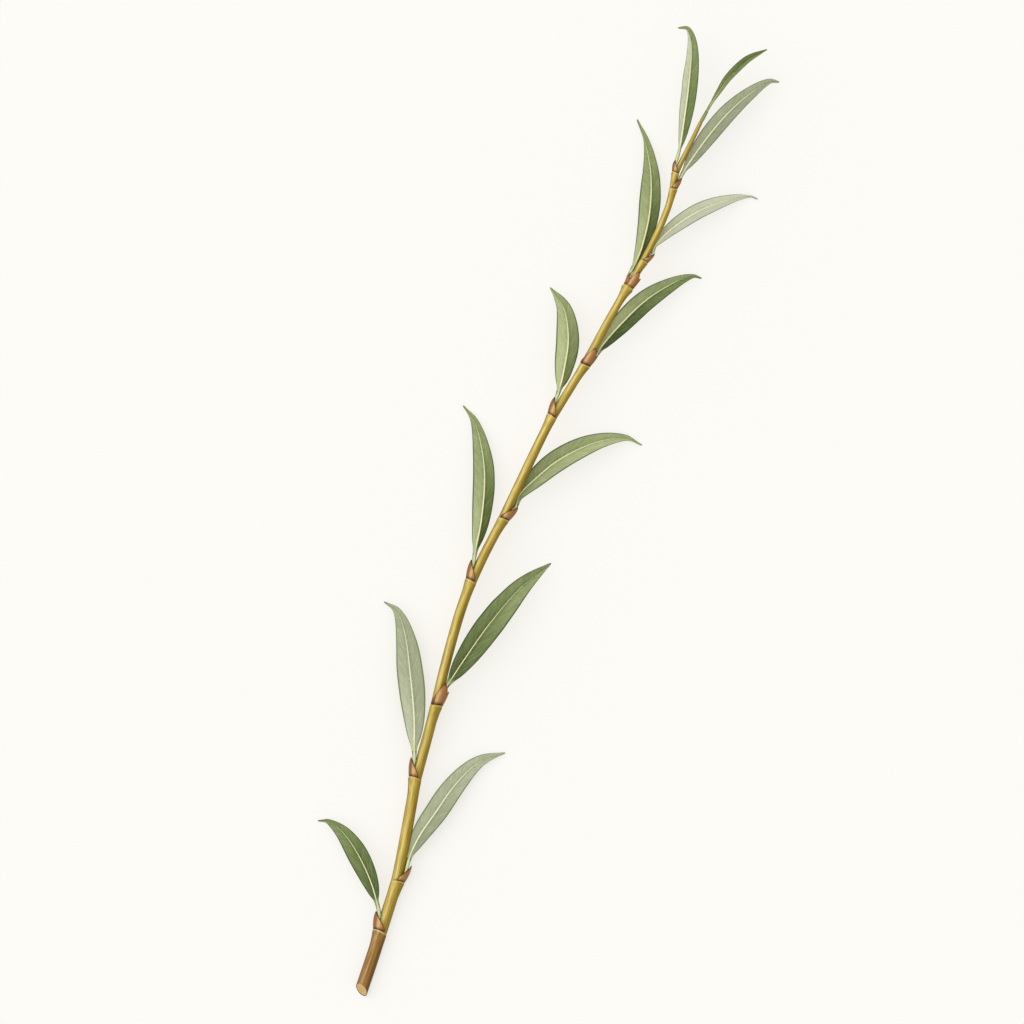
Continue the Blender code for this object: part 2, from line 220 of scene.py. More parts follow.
# %% Helpers for selecting and finishing
def only(thing):
    """Selects this object alone and makes it the active one."""
    bpy.ops.object.select_all(action="DESELECT")
    thing.select_set(True)
    bpy.context.view_layer.objects.active = thing


def edit():
    bpy.ops.object.mode_set(mode="EDIT")


def leave_edit():
    bpy.ops.object.mode_set(mode="OBJECT")


def edit_all():
    """Goes to edit mode with everything selected."""
    edit()
    bpy.ops.mesh.select_all(action="SELECT")


def pick(thing, wanted):
    """In edit mode, selects the vertices whose index is wanted, or that pass it as a test."""
    bpy.ops.mesh.select_all(action="DESELECT")
    mesh = bmesh.from_edit_mesh(thing.data)
    mesh.verts.ensure_lookup_table()
    if callable(wanted):
        chosen = [vertex for vertex in mesh.verts if wanted(vertex)]
    else:
        chosen = [mesh.verts[index] for index in wanted]
    for vertex in chosen:
        vertex.select = True
    mesh.select_flush_mode()
    bmesh.update_edit_mesh(thing.data, loop_triangles=False, destructive=False)


def resize(x=1.0, y=1.0, z=1.0, about=(0, 0, 0)):
    bpy.ops.transform.resize(value=(x, y, z), center_override=about)


def move(x=0.0, y=0.0, z=0.0):
    bpy.ops.transform.translate(value=(x, y, z))


def turn(angle, axis, about=(0, 0, 0)):
    """Turns what is selected by an angle in degrees, anticlockwise seen from the axis's end."""
    bpy.ops.transform.rotate(value=-math.radians(angle), orient_axis=axis, center_override=about)


def apply_modifier(thing, kind, **settings):
    modifier = thing.modifiers.new(kind.lower(), kind)
    for name, value in settings.items():
        setattr(modifier, name, value)
    only(thing)
    bpy.ops.object.modifier_apply(modifier=modifier.name)


def straight_disc(name, sides):
    """A disc of radius 1 that faces along Y, in edit mode and selected."""
    bpy.ops.object.select_all(action="DESELECT")
    bpy.ops.mesh.primitive_circle_add(vertices=sides, radius=1, fill_type="NGON",
                                      rotation=(math.pi / 2, 0, 0))
    disc = bpy.context.object
    disc.name = name
    bpy.ops.object.transform_apply(rotation=True)
    edit_all()
    return disc


def copy_of(thing, name):
    """A copy with its own mesh."""
    only(thing)
    bpy.ops.object.duplicate(linked=False)
    made = bpy.context.object
    made.name = name
    return made


def note(thing, name, value_of):
    """Writes a vector on every vertex, worked out from it, for a material to read."""
    layer = thing.data.attributes.new(name, "FLOAT_VECTOR", "POINT")
    for vertex in thing.data.vertices:
        layer.data[vertex.index].vector = value_of(vertex)


def press_flat(thing):
    """Lifts what has sunk below the paper up to it, as a hand would press it flat there."""
    edit()
    pick(thing, lambda vertex: vertex.co.z < 0)
    resize(1, 1, 0)
    leave_edit()


def finish_piece(thing, node):
    """Shrinks a piece from millimetres to metres and puts it in its node's place."""
    only(thing)
    edit_all()
    resize(MM, MM, MM)
    bpy.ops.mesh.normals_make_consistent(inside=False)
    leave_edit()
    bpy.ops.object.shade_smooth_by_angle(angle=math.radians(40))
    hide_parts(node)
    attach(thing, "root")


# %% [markdown]
# ## Routes
# A route is a smooth line through a few given points. It answers two questions: where is the
# line at this place, and how long is it up to there? It also makes the guide curve that a straight piece
# is bent along. Each Bezier handle is a third of the way to the next point along the line's slope, which
# gives the same smooth line as the formula does.


# %% A route
def slope(keys, values, i):
    before, after = max(i - 1, 0), min(i + 1, len(keys) - 1)
    return (values[after] - values[before]) / (keys[after] - keys[before])


def smooth_value(keys, values, key):
    """A smooth curve through (key, value) pairs, read at key; straight beyond the ends."""
    last = len(keys) - 1
    if key <= keys[0]:
        return values[0] + slope(keys, values, 0) * (key - keys[0])
    if key >= keys[last]:
        return values[last] + slope(keys, values, last) * (key - keys[last])
    i = max(k for k in range(last) if keys[k] <= key)
    span = keys[i + 1] - keys[i]
    t = (key - keys[i]) / span
    return (values[i] * (1 + 2 * t) * (1 - t) ** 2
            + slope(keys, values, i) * span * t * (1 - t) ** 2
            + values[i + 1] * t * t * (3 - 2 * t)
            - slope(keys, values, i + 1) * span * t * t * (1 - t))


class Route:
    STEPS = 600  # for measuring its length

    def __init__(self, keys, points):
        self.keys = keys
        self.points = points
        self.lengths = [0.0]
        places = [self.at(self.key_of(i)) for i in range(self.STEPS + 1)]
        for here, there in zip(places, places[1:]):
            self.lengths.append(self.lengths[-1] + (there - here).length)

    def key_of(self, i):
        return self.keys[0] + (self.keys[-1] - self.keys[0]) * i / self.STEPS

    def at(self, key):
        return smooth_value(self.keys, self.points, key)

    def along(self, key, near=0.4):
        return (self.at(key + near) - self.at(key - near)).normalized()

    def length_to(self, key):
        place = (key - self.keys[0]) / (self.keys[-1] - self.keys[0]) * self.STEPS
        i = min(max(int(place), 0), self.STEPS - 1)
        return self.lengths[i] + (self.lengths[i + 1] - self.lengths[i]) * (place - i)

    def guide(self):
        """The route as a curve object. Its tilt keeps a bent piece's top side up."""
        data = bpy.data.curves.new("guide", "CURVE")
        data.dimensions = "3D"
        data.twist_mode = "Z_UP"
        data.resolution_u = 24
        spline = data.splines.new("BEZIER")
        spline.bezier_points.add(len(self.points) - 1)
        last = len(self.points) - 1
        for i, knot in enumerate(spline.bezier_points):
            way = slope(self.keys, self.points, i)
            knot.handle_left_type = knot.handle_right_type = "FREE"
            knot.co = self.points[i]
            knot.handle_left = self.points[i] - way * (self.keys[i] - self.keys[max(i - 1, 0)]) / 3
            knot.handle_right = self.points[i] + way * (self.keys[min(i + 1, last)] - self.keys[i]) / 3
            knot.tilt = math.pi / 2
        made = bpy.data.objects.new("guide", data)
        bpy.context.scene.collection.objects.link(made)
        return made


def bend(thing, guide):
    apply_modifier(thing, "CURVE", object=guide, deform_axis="POS_Y")


# %% [markdown]
# ## The stem's measures
# The stem is thickest at the cut and thins towards the tip. Under each leaf it swells into a cushion that
# ends in a ledge. These rows say where its middle line runs and how thick it is. They are the packed
# model's, with changes of less than a third of a millimetre that suit the photograph better.

# %% The stem's route, its radius and its ledges
# Place along the twig, place across it, height, and radius.
STEM_ROUTE = (
    (-181.6, -71.0, 2.20, 2.52),
    (-170.0, -67.1, 2.20, 2.52),
    (-159.0, -63.5, 2.36, 2.40),
    (-147.6, -59.8, 2.90, 2.28),
    (-140.0, -57.5, 3.30, 2.26),
    (-128.6, -55.2, 4.00, 2.20),
    (-109.6, -51.8, 5.00, 2.15),
    (-101.5, -50.4, 5.40, 2.16),
    (-94.4, -48.4, 5.80, 2.03),
    (-79.2, -44.3, 6.70, 1.95),
    (-52.6, -37.7, 8.00, 1.92),
    (-33.6, -32.0, 8.80, 1.94),
    (-18.4, -25.4, 9.40, 1.84),
    (-3.2, -17.6, 10.10, 1.80),
    (23.4, -4.9, 11.10, 1.75),
    (34.8, 0.9, 11.50, 1.70),
    (53.8, 12.5, 12.20, 1.58),
    (76.6, 25.1, 13.00, 1.50),
    (96.0, 36.4, 13.65, 1.26),
    (114.6, 45.1, 14.30, 1.26),
    (128.6, 48.6, 14.75, 1.08),
    (137.4, 52.8, 15.10, 0.94),
    (148.0, 57.9, 15.50, 0.74),
)
stem_keys = [row[0] for row in STEM_ROUTE]
stem_radii = [row[3] for row in STEM_ROUTE]
stem_route = Route(stem_keys, [Vector((row[1], row[0], row[2])) for row in STEM_ROUTE])
stem_guide = stem_route.guide()
UP = Vector((0, 0, 1))
LEFT, RIGHT = -1, 1
GAP = 0.3  # between the stem and the pieces that grow from it

# A scale's node, the place of its ledge, its side, length, middle angle above the level, half the angle it
# wraps, how far its tip stands off the stem, and how many points it has.
Scale = namedtuple("Scale", "node at side length middle half_span lift points")
SCALES = (
    Scale("bud_scale_01", -160.3, LEFT, 7.3, 40, 76, 1.5, 1),
    Scale("bud_scale_02", -141.1, RIGHT, 7.4, 30, 62, 1.6, 1),
    Scale("bud_scale_03", -101.9, LEFT, 7.7, 36, 70, 1.5, 1),
    Scale("bud_scale_04", -74.2, RIGHT, 9.4, 50, 84, 1.5, 2),
    Scale("bud_scale_05", -27.0, LEFT, 7.8, 40, 72, 1.4, 1),
    Scale("bud_scale_06", -3.2, RIGHT, 6.7, 45, 76, 1.4, 1),
    Scale("bud_scale_07", 35.6, LEFT, 7.0, 42, 72, 1.4, 1),
    Scale("bud_scale_08", 55.3, RIGHT, 8.0, 63, 84, 1.0, 2),
    Scale("bud_scale_09", 84.8, LEFT, 5.6, 32, 56, 0.5, 1),
    Scale("bud_scale_09_front", 84.8, RIGHT, 7.8, 60, 85, 0.8, 2),
    Scale("bud_scale_10", 94.9, RIGHT, 4.6, 34, 64, 1.0, 1),
    Scale("bud_scale_11", 122.3, RIGHT, 5.3, 40, 68, 1.1, 1),
    Scale("bud_scale_12", 128.3, LEFT, 4.4, 42, 66, 1.1, 1),
)


def stem_radius(key):
    return smooth_value(stem_keys, stem_radii, key)


def stem_key(at, distance):
    """The place along the twig this far past `at`, measured along the stem."""
    return at + distance * stem_route.along(at).y


def facing(side, angle):
    """A direction away from the straight stem's middle, at this angle above the level."""
    return Vector((side * math.cos(math.radians(angle)), 0, math.sin(math.radians(angle))))


print(f"stem length: {stem_route.lengths[-1]:.1f} mm")

# %% [markdown]
# ## The stem
# A disc is extruded step by step along Y, as one would draw out clay, and every new ring is resized to the
# stem's radius there. At a ledge the ring also grows and slides to the leaf's side, so it swells on that
# side only, and it leans, so that the ledge runs down round the stem. The slanting cut is a Bisect with its
# hole filled, and the stem is bent last.

# %% Model the stem
STEM_SIDES = 40
STEM_STEP = 3.0
STEM_LEAD = 5.0  # extra length below the cut, which the cut takes off
RING_MIN = 0.08
CUSHION_RISE = 0.9
# Distance from the ledge's rim, and how much of the cushion's rise and of the ledge's lean is there.
CUSHION = ((-7.0, 0.0, 0.0), (-5.4, 0.05, 0.0), (-3.9, 0.19, 0.1), (-2.6, 0.39, 0.35), (-1.6, 0.60, 0.65),
           (-0.9, 0.78, 0.85), (-0.5, 0.93, 0.95), (-0.2, 1.0, 1.0), (0.0, 0.97, 1.0), (0.12, 0.75, 1.0),
           (0.24, 0.3, 1.0), (0.36, 0.0, 1.0), (1.2, 0.0, 0.8), (2.4, 0.0, 0.35), (3.6, 0.0, 0.0))
CUSHION_MIDDLE = 42
LEDGE_LEAN, LEAN_MIDDLE = 0.38, 70  # its slope, and the angle above the level at which it is highest
CUT_NORMAL = (0.45, 1.0, -0.70)
CUT_RIM, CUT_RIM_DEPTH = 0.30, 0.05


def cushion_shares(distance):
    """The cushion's swelling and lean at a distance from its rim, from 0 to 1."""
    for (before, *low), (after, *high) in zip(CUSHION, CUSHION[1:]):
        if before <= distance <= after:
            return [a + (b - a) * (distance - before) / (after - before) for a, b in zip(low, high)]
    return 0.0, 0.0


def stem_ring(key):
    """Radius, middle and lean of the straight stem's ring at this place."""
    radius, middle, lean = stem_radius(key), Vector((0, 0, 0)), Vector((0, 0, 0))
    sides = {(scale.at, scale.side): scale for scale in SCALES}.values()
    for scale in sides:
        distance = (key - scale.at) / stem_route.along(scale.at).y
        swelling, leaning = cushion_shares(distance)
        radius += CUSHION_RISE * swelling / 2
        middle += facing(scale.side, CUSHION_MIDDLE) * CUSHION_RISE * swelling / 2
        lean += facing(scale.side, LEAN_MIDDLE) * LEDGE_LEAN * leaning
    return radius, middle, lean


def stem_ring_keys():
    """Where the rings are: every few millimetres, and closer at each cushion."""
    first, last = stem_keys[0], stem_keys[-1]
    near = [stem_key(scale.at, distance) for scale in SCALES for distance, _, _ in CUSHION]
    steps = round((last - first) / STEM_STEP)
    plain = [first + (last - first) * i / steps for i in range(steps + 1)]
    plain = [key for key in plain if all(abs(key - other) > STEM_STEP / 3 for other in near)]
    kept = []
    for key in sorted(near + plain + [last]):
        if not kept or key - kept[-1] > RING_MIN:
            kept.append(key)
    return kept


def model_stem():
    stem = straight_disc("willow_stem", STEM_SIDES)
    radius, middle, place = 1.0, Vector((0, 0, 0)), 0.0
    rows = [(-STEM_LEAD, *stem_ring(stem_keys[0]))]
    rows += [(stem_route.length_to(key), *stem_ring(key)) for key in stem_ring_keys()]
    for i, (new_place, new_radius, new_middle, _) in enumerate(rows):
        step = (0, new_place - place, 0)
        if i == 0:
            move(*step)
        else:
            bpy.ops.mesh.extrude_region_move(TRANSFORM_OT_translate={"value": step})
        ratio = new_radius / radius
        resize(ratio, 1, ratio, about=(middle.x, new_place, middle.z))
        move(new_middle.x - middle.x, 0, new_middle.z - middle.z)
        radius, middle, place = new_radius, new_middle, new_place
    rings = {}
    for vertex in bmesh.from_edit_mesh(stem.data).verts:
        rings.setdefault(round(vertex.co.y, 2), set()).add(vertex.index)
    for place, _, middle, lean in rows:
        if lean.length > 0:
            pick(stem, rings[round(place, 2)])
            turn(math.degrees(lean.x), "Z", about=(middle.x, place, middle.z))
            turn(-math.degrees(lean.z), "X", about=(middle.x, place, middle.z))
    bpy.ops.mesh.select_all(action="SELECT")
    bpy.ops.mesh.bisect(plane_co=(0, 0, 0), plane_no=CUT_NORMAL, use_fill=True, clear_inner=True,
                        threshold=1e-5)
    leave_edit()
    return stem


willow_stem = model_stem()
print("stem faces:", len(willow_stem.data.polygons))

# %% [markdown]
# ## Bark and cut wood
# Golden bark is smooth, with fine streaks along the shoot. Its colours across the stem hold painted light: a
# painted highlight stripe left of the middle and painted shade towards the right side. The lowest piece is
# last year's wood, whose bark is brown. The colours follow the straight stem's own coordinates, which were
# written on its vertices before it was bent, so the streaks run along the bend and the bark has no seam.

# %% Bark
# Bark colours across the stem, from its left side at 0 to its right at 1. They hold painted light: a painted
# highlight stripe left of the middle, and painted shade that deepens towards the right side.
GOLD_WITH_PAINTED_LIGHT = (
    (0.00, 165, 140, 52), (0.09, 206, 181, 88), (0.15, 204, 179, 80), (0.25, 228, 205, 112),
    (0.34, 238, 219, 146), (0.45, 216, 192, 102), (0.55, 193, 167, 71), (0.65, 186, 160, 60),
    (0.75, 164, 138, 42), (0.85, 162, 136, 36), (1.00, 150, 124, 30))
BROWN_WITH_PAINTED_LIGHT = (
    (0.00, 160, 118, 64), (0.15, 174, 132, 80), (0.26, 190, 148, 96), (0.35, 206, 168, 118),
    (0.45, 173, 130, 75), (0.55, 158, 113, 56), (0.65, 163, 122, 62), (0.75, 148, 107, 46),
    (0.85, 124, 85, 28), (1.00, 112, 76, 20))
OLD_BARK_TOP = stem_route.length_to(SCALES[0].at)  # the brown bark ends at the lowest ledge
# Near the lowest ledge, the rim's painted highlight takes the old bark's tan.
OLD_RIM_HIGHLIGHT_REACH = 3.0  # up to this far past it, a rim's pale line is the old bark's
GREEN_START, GREEN_END = stem_route.length_to(126), stem_route.length_to(142)  # the youngest bark


def make_bark():
    material, tree, shader = new_material("willow_bark", 0.45, specular=0.2)
    straight = attribute(tree, "straight")
    x, y, _ = split(tree, straight)
    facing_right = reckon(tree, "DIVIDE", x, off_axis(tree, straight))
    across = reckon(tree, "MULTIPLY_ADD", facing_right, 0.5, 0.5)

    stretched = drawn_out(tree, straight, (1.0, 0.035, 1.0))
    streaks = noise_at(tree, stretched, 1.7, 4.0, 0.6)
    wander = reckon(tree, "MULTIPLY_ADD", streaks, 0.30, -0.15)
    across = reckon(tree, "ADD", across, wander)
    # These ramps paint a highlight left of the stem's middle and shade towards its right side.
    gold = ramp(tree, across, *GOLD_WITH_PAINTED_LIGHT)
    brown = ramp(tree, across, *BROWN_WITH_PAINTED_LIGHT)

    edge = reckon(tree, "MULTIPLY_ADD", facing_right, -0.6, OLD_BARK_TOP)
    edge = reckon(tree, "MULTIPLY_ADD", streaks, 0.5, edge)
    young = reckon(tree, "GREATER_THAN", y, edge)
    colour = blend(tree, young, brown, gold)

    fine = noise_at(tree, stretched, 3.4, 2.0)
    streak_tone = ramp(tree, fine, (0.34, 196, 184, 156), (0.58, 255, 255, 255))
    colour = blend(tree, 0.8, colour, streak_tone, "MULTIPLY")
    patches = noise_at(tree, drawn_out(tree, straight, (0.5, 0.05, 0.5)), 1.0, 2.0)
    patch_tone = ramp(tree, patches, (0.35, 238, 236, 214), (0.65, 255, 255, 255))
    colour = blend(tree, 0.7, colour, patch_tone, "MULTIPLY")

    greening = fade(tree, y, GREEN_START, GREEN_END, 0.0, 0.35)
    colour = blend(tree, greening, colour, paint(128, 120, 48))
    # Painted shade: a dark line along both sides of the stem, where its round surface turns away.
    side_shade = fade(tree, reckon(tree, "ABSOLUTE", facing_right), 0.82, 0.94, 0.0, 0.85)
    colour = blend(tree, side_shade, colour, blend(tree, young, paint(84, 56, 20), paint(112, 88, 24)))

    # Painted light at each ledge: a pale painted highlight along the rim just below the ledge's edge, and a
    # dark line of painted shade in the crease where the scale comes out.
    pale, dark, _ = split(tree, attribute(tree, "ledge"))
    by_old_bark = reckon(tree, "LESS_THAN", y, OLD_BARK_TOP + OLD_RIM_HIGHLIGHT_REACH)
    rim_highlight = blend(tree, by_old_bark, paint(218, 198, 108), paint(226, 186, 134))
    colour = blend(tree, reckon(tree, "MULTIPLY", pale, 0.75), colour, rim_highlight)
    colour = blend(tree, reckon(tree, "MULTIPLY", dark, 0.9), colour, paint(112, 70, 30))
    dress(tree, shader, colour, fine, 0.25, 0.00012)
    return material


def make_cut_wood():
    """Pale wood with faint rings about the pith, and darker towards the bark."""
    material, tree, shader = new_material("cut_wood", 0.75)
    straight = attribute(tree, "straight")
    grain = noise_at(tree, straight, 2.2, 3.0)
    wavy = reckon(tree, "MULTIPLY_ADD", grain, 0.35, off_axis(tree, straight))
    wood = ramp(tree, reckon(tree, "DIVIDE", wavy, 2.6),
                (0.12, 150, 106, 50), (0.24, 226, 196, 124), (0.34, 222, 190, 118),
                (0.44, 170, 130, 68), (0.54, 224, 194, 122), (0.66, 220, 188, 116),
                (0.75, 180, 140, 76), (0.84, 226, 196, 126), (0.98, 190, 152, 88))
    dress(tree, shader, wood, grain, 0.3, 0.0001)
    return material


bark = make_bark()
cut_wood = make_cut_wood()
bark_edge, _, shader = new_material("bark_edge", 0.7)
shader.inputs["Base Color"].default_value = paint(92, 60, 24)

# %% [markdown]
# ## Finish the stem
# The cut face is found by its normal and inset, so the bark keeps its own thin edge round the wood. The
# stem then gets its coordinates noted, is bent, and is pressed flat where its cut end lies on the paper.
# Scaling the few vertices under the paper to height 0 does that.

# %% Cut face, bend and flat spot
# Where a ledge's painted highlight and the painted shade in its crease lie, and how wide they are.
RIM_HIGHLIGHT_PLACE, RIM_HIGHLIGHT_WIDTH = -0.25, 0.30  # the pale line just below a ledge's edge
CREASE_SHADE_PLACE, CREASE_SHADE_WIDTH = 0.42, 0.30  # the dark line where the scale comes out
OLDEST_RIM_HIGHLIGHT = 1.6  # times as wide at the lowest ledge


def ledge_highlight_and_shade(vertex):
    """How much of the painted highlight on a ledge's rim and of the painted shade in the crease where the
    scale comes out lies on this vertex of the straight stem.
    """
    pale = dark = 0.0
    way = Vector((vertex.co.x, 0, vertex.co.z))
    for scale in SCALES:
        distance = vertex.co.y - stem_route.length_to(scale.at)
        if abs(distance) > 3:
            continue
        distance -= way.dot(facing(scale.side, LEAN_MIDDLE)) * LEDGE_LEAN
        turned = way.normalized().dot(facing(scale.side, CUSHION_MIDDLE))
        near = max(0.0, min(1.0, turned * 2 + 0.3))
        width = RIM_HIGHLIGHT_WIDTH * (OLDEST_RIM_HIGHLIGHT if scale is SCALES[0] else 1)
        pale = max(pale, near * max(0.0, 1 - abs(distance - RIM_HIGHLIGHT_PLACE) / width))
        dark = max(dark, near * max(0.0, 1 - abs(distance - CREASE_SHADE_PLACE) / CREASE_SHADE_WIDTH))
    return pale, dark, 0.0


def pick_faces(thing, test):
    """In edit mode, selects the faces that pass the test."""
    bpy.ops.mesh.select_all(action="DESELECT")
    bpy.ops.mesh.select_mode(type="FACE")
    mesh = bmesh.from_edit_mesh(thing.data)
    for face in mesh.faces:
        face.select_set(test(face))
    bmesh.update_edit_mesh(thing.data, loop_triangles=False, destructive=False)


def assign(thing, index):
    """In edit mode, gives the selected faces the material in this slot."""
    thing.active_material_index = index
    bpy.ops.object.material_slot_assign()


def finish_stem(stem):
    for material in (bark, cut_wood, bark_edge):
        stem.data.materials.append(material)
    away = -Vector(CUT_NORMAL).normalized()
    only(stem)
    edit_all()
    bpy.ops.mesh.normals_make_consistent(inside=False)
    pick_faces(stem, lambda face: face.normal.dot(away) > 0.99 and face.calc_area() > 1)
    assign(stem, 2)
    bpy.ops.mesh.inset(thickness=CUT_RIM, depth=-CUT_RIM_DEPTH)
    assign(stem, 1)
    bpy.ops.mesh.select_mode(type="VERT")
    leave_edit()
    note(stem, "straight", lambda vertex: vertex.co)
    note(stem, "ledge", ledge_highlight_and_shade)
    bend(stem, stem_guide)
    press_flat(stem)
    finish_piece(stem, "stem")


finish_stem(willow_stem)
print("stem reaches:", [round(v / MM, 1) for v in willow_stem.dimensions])

# %% [markdown]
# ## Bud scales
# A bud scale is a small brown shield wrapped round the stem, with its foot on the ledge and its point
# standing off. One flat grid makes it: its columns are drawn in towards the point, as a paper pattern is
# cut, and then each column is turned round the stem's middle line. Two patterns, with one point and with
# two, are each modelled once and copied.

# %% Scale material
def make_scale_skin():
    material, tree, shader = new_material("bud_scale", 0.42, specular=0.25)
    shield = attribute(tree, "shield")
    _, along, edge = split(tree, shield)
    fibres = noise_at(tree, drawn_out(tree, shield, (9.0, 1.6, 0.0)), 1.6, 3.0)
    # Painted light: across the scale, a pale painted highlight on its left facet and painted shade deepening
    # to the right.
    turned = split(tree, attribute(tree, "turned"))[0]
    place = reckon(tree, "ADD", turned, reckon(tree, "MULTIPLY_ADD", fibres, 0.30, -0.15))
    colour = ramp(tree, place,
                  (0.04, 132, 84, 36), (0.12, 150, 100, 50), (0.21, 214, 172, 118),
                  (0.30, 222, 182, 130), (0.40, 184, 137, 82), (0.56, 158, 110, 56),
                  (0.72, 136, 90, 40), (0.92, 110, 68, 24))
    foot = ramp(tree, along, (0.02, 150, 110, 76), (0.18, 255, 255, 255),
                (0.80, 250, 240, 226), (0.98, 180, 138, 100))
    colour = blend(tree, 1.0, colour, foot, "MULTIPLY")
    colour = blend(tree, edge, colour, paint(74, 40, 8))
    dress(tree, shader, colour, fibres, 0.3, 0.0001)
    return material


scale_skin = make_scale_skin()

# %% Scale patterns
SCALE_COLUMNS, SCALE_ROWS = 16, 8
SCALE_THICK = 0.36
SCALE_FOOT = 0.28
SCALE_CORNER = 0.10
SHIELD_EDGE = 0.09  # width of its dark edge
FOOT_INSET = 0.04  # the foot's edge counts as this far in, and so is less dark
OUTER_FULLNESS, INNER_FULLNESS = 0.80, 1.05
# Each point's place across the scale, its height, and how far it comes down on its outer and inner side.
POINTS = {1: ((-0.27, 1.0, 0.73, 1.27),), 2: ((-0.55, 0.70, 0.45, 0.6), (0.15, 1.0, 0.85, 0.85))}


def scale_top(points, q):
    """Height of a scale's upper edge at q, from -1 at its outer corner to 1 at the other."""
    best = 0.0
    for place, top, outer, inner in POINTS[points]:
        reach, fullness = (outer, OUTER_FULLNESS) if q < place else (inner, INNER_FULLNESS)
        best = max(best, top * max(0.0, 1 - abs(q - place) / reach) ** fullness)
    return SCALE_CORNER + (1 - SCALE_CORNER) * best


def model_scale_pattern(points):
    """A shield 2 wide and 1 long that curves up from its foot to 1 high at its tip."""
    bpy.ops.object.select_all(action="DESELECT")
    bpy.ops.mesh.primitive_grid_add(x_subdivisions=SCALE_COLUMNS, y_subdivisions=SCALE_ROWS, size=2)
    pattern = bpy.context.object
    pattern.name = f"pattern_{points}"
    edit_all()
    resize(1, 0.5, 1)
    move(0, 0.5, 0)
    tips = [point[0] for point in POINTS[points]]
    for i in range(SCALE_COLUMNS + 1):
        q = -1 + 2 * i / SCALE_COLUMNS
        pick(pattern, lambda vertex: abs(vertex.co.x - q) < 0.01)
        tip = min(tips, key=lambda place: abs(place - q))
        if abs(tip - q) < 1 / SCALE_COLUMNS:
            move(tip - q, 0, 0)  # the nearest column goes exactly to the point
            q = tip
        resize(1, scale_top(points, q), 1)
    for index in range(len(pattern.data.vertices)):
        pick(pattern, {index})
        share = bmesh.from_edit_mesh(pattern.data).verts[index].co.y
        move(z=1 - (1 - share) ** 2)
    leave_edit()
    note(pattern, "shield", lambda vertex: (vertex.co.x, vertex.co.y, edge_of_shield(vertex, points)))
    return pattern


def edge_of_shield(vertex, points):
    """1 on the shield's edge and 0 a little way in."""
    top = scale_top(points, max(-1, min(1, vertex.co.x)))
    inside = min(top - vertex.co.y, vertex.co.y + FOOT_INSET, 1 - abs(vertex.co.x))
    return max(0.0, 1 - inside / SHIELD_EDGE)


patterns = {points: model_scale_pattern(points) for points in POINTS}


# %% Wrap a scale round the stem
# Where the painted highlight stripe sits on the scales on the right.
HIGHLIGHT_UNSHIFTED_MIDDLE, HIGHLIGHT_SHIFT_SPAN = 100, 210  # degrees


def scale_light_side(vertex, scale):
    """Which way the scale faces here, from 0 to the left to 1 to the right, which places its painted
    highlight and shade.

    Scales on the right show their painted highlight stripe further over, the more so the lower they sit.
    """
    way = Vector((vertex.co.x, vertex.co.z)).normalized()
    shift = (HIGHLIGHT_UNSHIFTED_MIDDLE - scale.middle) / HIGHLIGHT_SHIFT_SPAN if scale.side == RIGHT else 0
    return 0.5 + 0.5 * way.x - shift


def model_scale(scale):
    key = stem_key(scale.at, scale.length / 2)
    shield = copy_of(patterns[scale.points], scale.node + "_shield")
    edit_all()
    radius = stem_radius(key) + GAP
    resize(1, scale.length - SCALE_FOOT, scale.lift)
    move(y=stem_route.length_to(scale.at) + SCALE_FOOT, z=radius)
    columns = {}
    for vertex in bmesh.from_edit_mesh(shield.data).verts:
        columns.setdefault(round(vertex.co.x, 3), set()).add(vertex.index)
    for q, column in columns.items():
        angle = scale.middle + scale.half_span * q
        pick(shield, column)
        resize(0, 1, 1)
        move(y=LEDGE_LEAN * radius * math.cos(math.radians(angle - LEAN_MIDDLE)))  # as the ledge leans
        turn(scale.side * (90 - angle), "Y")
    if scale.side == RIGHT:
        bpy.ops.mesh.select_all(action="SELECT")
        bpy.ops.mesh.flip_normals()  # its columns run the other way round the stem
    leave_edit()
    apply_modifier(shield, "SOLIDIFY", thickness=SCALE_THICK, offset=1)
    apply_modifier(shield, "SUBSURF", levels=2, render_levels=2)
    note(shield, "turned", lambda vertex: (scale_light_side(vertex, scale), 0, 0))
    bend(shield, stem_guide)
    shield.data.materials.append(scale_skin)
    finish_piece(shield, scale.node)
    return shield


shields = [model_scale(scale) for scale in SCALES]
for pattern in patterns.values():
    bpy.data.objects.remove(pattern)
print("bud scales:", len(shields), "of", len(shields[0].data.polygons), "faces")

# %% [markdown]
# ## Leaves
# A willow leaf is one thin sheet with a short round stalk that runs on as the midrib. Most leaves here are
# folded a little along the midrib, and four lie with their pale underside up. Where each leaf runs comes
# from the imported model. Its width and the slopes of its halves started from there and were then fitted to
# the photograph.

# %% The leaves' measures
STALK_ROOT, STALK_ROOT_RADIUS = 3.1, 0.33  # the stalk's first point: how far past the ledge
STALK_NECK, STALK_RADIUS = 0.86, 0.55  # its second point: the same, as a share of the scale's length
STALK_SPREAD = 5.0  # the stalk reaches its full thickness here
BLADE_OPENING = 3.0  # the last part of the stalk, over which the wings flatten
BLADE_START = 0.016
BLADE_FULLNESS = 0.62
EVEN = (0.5, 0.5)
